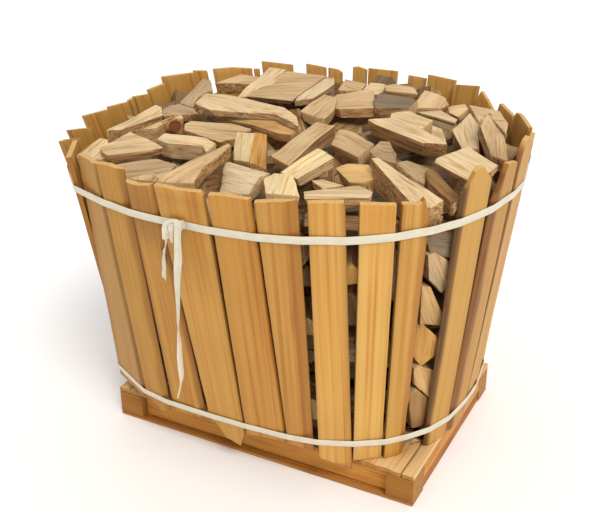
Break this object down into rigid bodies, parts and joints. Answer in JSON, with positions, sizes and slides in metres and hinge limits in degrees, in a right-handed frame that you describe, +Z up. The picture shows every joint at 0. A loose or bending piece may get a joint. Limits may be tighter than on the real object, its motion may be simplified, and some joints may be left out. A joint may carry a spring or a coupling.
{
  "type": "pallet of firewood",
  "caption": "Loose split oak firewood heaped on a wooden pallet, walled by upright sawn slabs that two flat knotted straps hold together; rests on the floor.",
  "frame": {"origin": "on the floor, under the middle of the loaded pallet's bounding box, loose strap ends left out", "axes": "+Z up; +X along the pallet's long side towards its boarded short end; -Y towards the side with the strap's knot"},
  "size_m": [1.5414, 1.5564, 1.2187],
  "materials": {
    "pallet_wood": "sawn softwood, dry and dull, with chipped edges",
    "stave_wood": "sawn honey-coloured slab, smooth matt, vertical grain",
    "woven_strap": "woven polyester strap, off-white, slight sheen",
    "split_oak": "rough split oak with brown bark sides, matt"
  },
  "bodies": {
    "root": {"skid_front": "pallet_wood", "skid_back": "pallet_wood", "block_front_left": "pallet_wood", "block_front_right": "pallet_wood", "block_back_left": "pallet_wood", "block_back_right": "pallet_wood", "rail_front": "pallet_wood", "rail_back": "pallet_wood", "rail_middle": "pallet_wood", "header_upper": "pallet_wood", "header_lower": "pallet_wood", "deck_strip_left": "pallet_wood", "deck_board_1": "pallet_wood", "deck_board_2": "pallet_wood", "deck_board_3": "pallet_wood", "deck_board_4": "pallet_wood", "deck_board_5": "pallet_wood", "deck_strip_right": "pallet_wood", "stave_01": "stave_wood", "stave_02": "stave_wood", "stave_03": "stave_wood", "stave_04": "stave_wood", "stave_05": "stave_wood", "stave_06": "stave_wood", "stave_07": "stave_wood", "stave_08": "stave_wood", "stave_09": "stave_wood", "stave_10": "stave_wood", "stave_11": "stave_wood", "stave_12": "stave_wood", "stave_13": "stave_wood", "stave_14": "stave_wood", "stave_15": "stave_wood", "stave_16": "stave_wood", "stave_17": "stave_wood", "stave_18": "stave_wood", "stave_19": "stave_wood", "stave_20": "stave_wood", "stave_21": "stave_wood", "stave_22": "stave_wood", "stave_23": "stave_wood", "stave_24": "stave_wood", "stave_25": "stave_wood", "stave_26": "stave_wood", "stave_27": "stave_wood", "stave_28": "stave_wood", "stave_29": "stave_wood", "stave_30": "stave_wood", "stave_31": "stave_wood", "stave_32": "stave_wood", "stave_33": "stave_wood", "stave_34": "stave_wood", "stave_35": "stave_wood", "stave_36": "stave_wood", "strap_lower": "woven_strap", "strap_upper": "woven_strap", "knot": "woven_strap", "tail_long": "woven_strap", "tail_short": "woven_strap", "firewood": "split_oak"}
  },
  "joints": []
}
